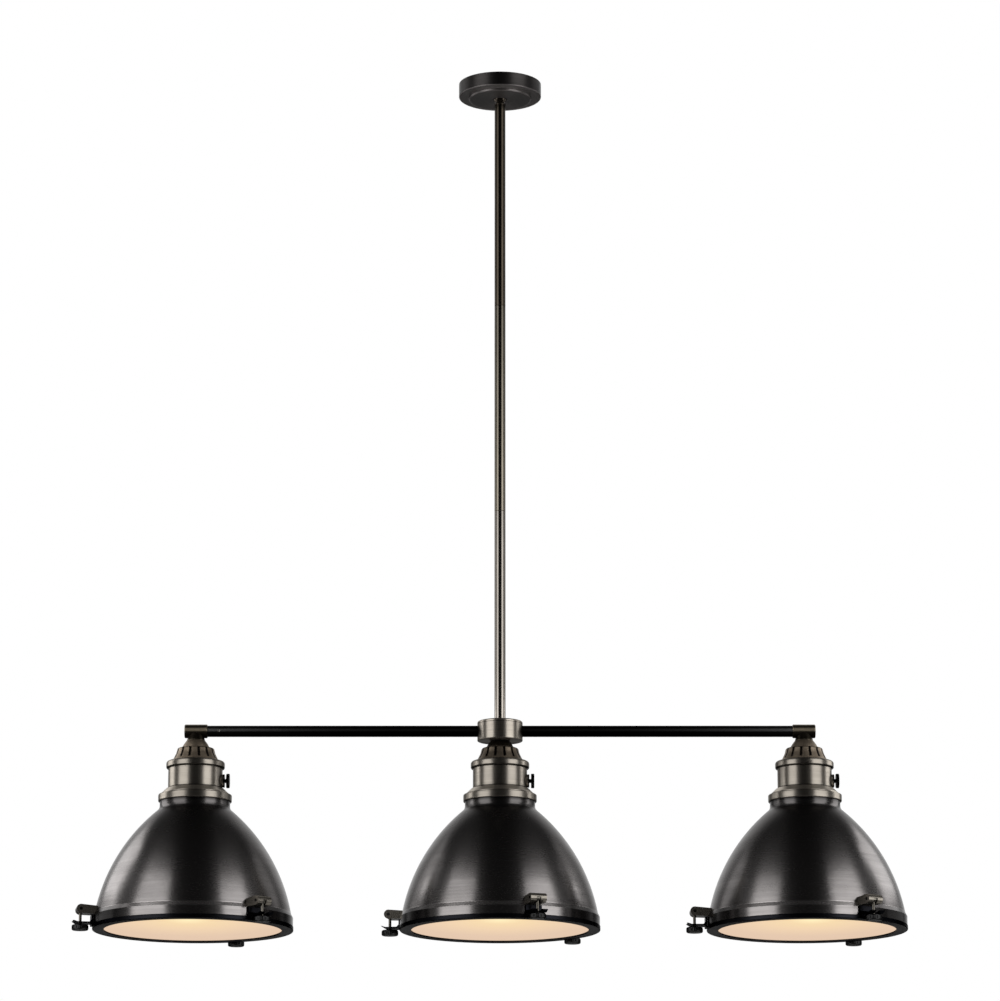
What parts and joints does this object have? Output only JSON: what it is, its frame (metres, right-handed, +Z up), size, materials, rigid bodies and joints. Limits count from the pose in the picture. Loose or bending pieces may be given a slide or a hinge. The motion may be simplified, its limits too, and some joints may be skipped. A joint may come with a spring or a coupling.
{
  "type": "island pendant light",
  "caption": "Linear island pendant: a ceiling canopy and swivel, a jointed rod stem, a hub with side arms and vented metal bell shades, each with a frosted glass lens held by swing-bolt clamps.",
  "frame": {"origin": "on the ceiling plane, midway between the crossbar's two slots, in the stem's axis", "axes": "+Z up into the ceiling, X along the row of heads, -Y the front"},
  "size_m": [1.1658, 0.326, 1.2463],
  "materials": {
    "canopy_bronze": "brushed bronze lacquer",
    "zinc_strap": "zinc plated",
    "zinc_fasteners": "zinc plated",
    "swivel_bronze": "satin bronze",
    "steel_pin": "turned steel",
    "stem_bronze": "satin bronze",
    "stem_pewter": "brushed pewter",
    "hub_pewter": "brushed pewter",
    "arm_black": "satin black",
    "fitting_bronze": "antique bronze",
    "crown_bronze": "antique bronze",
    "housing_pewter": "brushed pewter",
    "shade_bronze": "spun and brushed dark bronze",
    "lens_ring_bronze": "satin dark bronze",
    "frosted_glass": "frosted, lit from behind",
    "socket_plastic": "moulded phenolic",
    "bulb_glass": "opal",
    "knob_black": "gloss black",
    "clamp_black": "gloss black"
  },
  "bodies": {
    "ceiling_mount": {"canopy": "canopy_bronze", "ceiling_crossbar": "zinc_strap", "crossbar_screws": "zinc_fasteners"},
    "swivel": {"swivel_fork": "swivel_bronze", "swivel_pin": "steel_pin", "swivel_lock_nut": "zinc_fasteners"},
    "hanging_frame": {"lock_nuts": "zinc_fasteners", "threaded_nipples": "zinc_fasteners", "swivel_tongue": "swivel_bronze", "rod_upper": "stem_bronze", "rod_middle": "stem_pewter", "rod_lower": "stem_pewter", "hub_body": "hub_pewter", "hub_lid": "hub_pewter", "arm_left": "arm_black", "arm_right": "arm_black", "end_fitting_left": "fitting_bronze", "end_fitting_right": "fitting_bronze", "lamp_holders": "socket_plastic", "bulbs": "bulb_glass", "switch_bushings": "knob_black", "clamp_brackets": "clamp_black", "clamp_pins": "clamp_black", "crown_left": "crown_bronze", "housing_left": "housing_pewter", "shade_left": "shade_bronze", "lens_ring_left": "lens_ring_bronze", "glass_left": "frosted_glass", "crown_centre": "crown_bronze", "housing_centre": "housing_pewter", "shade_centre": "shade_bronze", "lens_ring_centre": "lens_ring_bronze", "glass_centre": "frosted_glass", "crown_right": "crown_bronze", "housing_right": "housing_pewter", "shade_right": "shade_bronze", "lens_ring_right": "lens_ring_bronze", "glass_right": "frosted_glass"},
    "switch_knob_left": {"switch_knob_left": "knob_black"},
    "swing_bolt_left_1": {"swing_bolt_left_1": "clamp_black"},
    "thumb_nut_left_1": {"thumb_nut_left_1": "clamp_black"},
    "swing_bolt_left_2": {"swing_bolt_left_2": "clamp_black"},
    "thumb_nut_left_2": {"thumb_nut_left_2": "clamp_black"},
    "swing_bolt_left_3": {"swing_bolt_left_3": "clamp_black"},
    "thumb_nut_left_3": {"thumb_nut_left_3": "clamp_black"},
    "switch_knob_centre": {"switch_knob_centre": "knob_black"},
    "swing_bolt_centre_1": {"swing_bolt_centre_1": "clamp_black"},
    "thumb_nut_centre_1": {"thumb_nut_centre_1": "clamp_black"},
    "swing_bolt_centre_2": {"swing_bolt_centre_2": "clamp_black"},
    "thumb_nut_centre_2": {"thumb_nut_centre_2": "clamp_black"},
    "swing_bolt_centre_3": {"swing_bolt_centre_3": "clamp_black"},
    "thumb_nut_centre_3": {"thumb_nut_centre_3": "clamp_black"},
    "switch_knob_right": {"switch_knob_right": "knob_black"},
    "swing_bolt_right_1": {"swing_bolt_right_1": "clamp_black"},
    "thumb_nut_right_1": {"thumb_nut_right_1": "clamp_black"},
    "swing_bolt_right_2": {"swing_bolt_right_2": "clamp_black"},
    "thumb_nut_right_2": {"thumb_nut_right_2": "clamp_black"},
    "swing_bolt_right_3": {"swing_bolt_right_3": "clamp_black"},
    "thumb_nut_right_3": {"thumb_nut_right_3": "clamp_black"}
  },
  "joints": [
    {"name": "swivel_yaw", "type": "hinge", "parent": "ceiling_mount", "child": "swivel", "pos_m": [0, 0, -0.0197], "axis": [0, 0, 1], "range_deg": [-175, 175]},
    {"name": "stem_tilt", "type": "hinge", "parent": "swivel", "child": "hanging_frame", "pos_m": [0, 0, -0.0197], "axis": [1, 0, 0], "range_deg": [-25, 25]},
    {"name": "switch_turn_left", "type": "hinge", "parent": "hanging_frame", "child": "switch_knob_left", "pos_m": [-0.384, 0, -1.0315], "axis": [1, 0, 0], "continuous": true},
    {"name": "bolt_swing_left_1", "type": "hinge", "parent": "hanging_frame", "child": "swing_bolt_left_1", "pos_m": [-0.32574, -0.11879, -1.217], "axis": [-0.7547, -0.6561, 0], "range_deg": [0, 70]},
    {"name": "nut_turn_left_1", "type": "hinge", "parent": "swing_bolt_left_1", "child": "thumb_nut_left_1", "pos_m": [-0.32574, -0.11879, -1.2424], "axis": [0, 0, 1], "continuous": true},
    {"name": "bolt_swing_left_2", "type": "hinge", "parent": "hanging_frame", "child": "swing_bolt_left_2", "pos_m": [-0.37776, 0.14883, -1.217], "axis": [0.9455, -0.3256, 0], "range_deg": [0, 70]},
    {"name": "nut_turn_left_2", "type": "hinge", "parent": "swing_bolt_left_2", "child": "thumb_nut_left_2", "pos_m": [-0.37776, 0.14883, -1.2424], "axis": [0, 0, 1], "continuous": true},
    {"name": "bolt_swing_left_3", "type": "hinge", "parent": "hanging_frame", "child": "swing_bolt_left_3", "pos_m": [-0.58351, -0.03003, -1.217], "axis": [-0.1908, 0.9816, 0], "range_deg": [0, 70]},
    {"name": "nut_turn_left_3", "type": "hinge", "parent": "swing_bolt_left_3", "child": "thumb_nut_left_3", "pos_m": [-0.58351, -0.03003, -1.2424], "axis": [0, 0, 1], "continuous": true},
    {"name": "switch_turn_centre", "type": "hinge", "parent": "hanging_frame", "child": "switch_knob_centre", "pos_m": [0.045, 0, -1.0315], "axis": [1, 0, 0], "continuous": true},
    {"name": "bolt_swing_centre_1", "type": "hinge", "parent": "hanging_frame", "child": "swing_bolt_centre_1", "pos_m": [0.05124, -0.14883, -1.217], "axis": [-0.9455, -0.3256, 0], "range_deg": [0, 70]},
    {"name": "nut_turn_centre_1", "type": "hinge", "parent": "swing_bolt_centre_1", "child": "thumb_nut_centre_1", "pos_m": [0.05124, -0.14883, -1.2424], "axis": [0, 0, 1], "continuous": true},
    {"name": "bolt_swing_centre_2", "type": "hinge", "parent": "hanging_frame", "child": "swing_bolt_centre_2", "pos_m": [0.10326, 0.11879, -1.217], "axis": [0.7547, -0.6561, 0], "range_deg": [0, 70]},
    {"name": "nut_turn_centre_2", "type": "hinge", "parent": "swing_bolt_centre_2", "child": "thumb_nut_centre_2", "pos_m": [0.10326, 0.11879, -1.2424], "axis": [0, 0, 1], "continuous": true},
    {"name": "bolt_swing_centre_3", "type": "hinge", "parent": "hanging_frame", "child": "swing_bolt_centre_3", "pos_m": [-0.15451, 0.03003, -1.217], "axis": [0.1908, 0.9816, 0], "range_deg": [0, 70]},
    {"name": "nut_turn_centre_3", "type": "hinge", "parent": "swing_bolt_centre_3", "child": "thumb_nut_centre_3", "pos_m": [-0.15451, 0.03003, -1.2424], "axis": [0, 0, 1], "continuous": true},
    {"name": "switch_turn_right", "type": "hinge", "parent": "hanging_frame", "child": "switch_knob_right", "pos_m": [0.474, 0, -1.0315], "axis": [1, 0, 0], "continuous": true},
    {"name": "bolt_swing_right_1", "type": "hinge", "parent": "hanging_frame", "child": "swing_bolt_right_1", "pos_m": [0.51007, -0.13492, -1.217], "axis": [-0.8572, -0.515, 0], "range_deg": [0, 70]},
    {"name": "nut_turn_right_1", "type": "hinge", "parent": "swing_bolt_right_1", "child": "thumb_nut_right_1", "pos_m": [0.51007, -0.13492, -1.2424], "axis": [0, 0, 1], "continuous": true},
    {"name": "bolt_swing_right_2", "type": "hinge", "parent": "hanging_frame", "child": "swing_bolt_right_2", "pos_m": [0.50531, 0.13767, -1.217], "axis": [0.8746, -0.4848, 0], "range_deg": [0, 70]},
    {"name": "nut_turn_right_2", "type": "hinge", "parent": "swing_bolt_right_2", "child": "thumb_nut_right_2", "pos_m": [0.50531, 0.13767, -1.2424], "axis": [0, 0, 1], "continuous": true},
    {"name": "bolt_swing_right_3", "type": "hinge", "parent": "hanging_frame", "child": "swing_bolt_right_3", "pos_m": [0.27162, -0.00275, -1.217], "axis": [-0.0175, 0.9998, 0], "range_deg": [0, 70]},
    {"name": "nut_turn_right_3", "type": "hinge", "parent": "swing_bolt_right_3", "child": "thumb_nut_right_3", "pos_m": [0.27162, -0.00275, -1.2424], "axis": [0, 0, 1], "continuous": true}
  ]
}
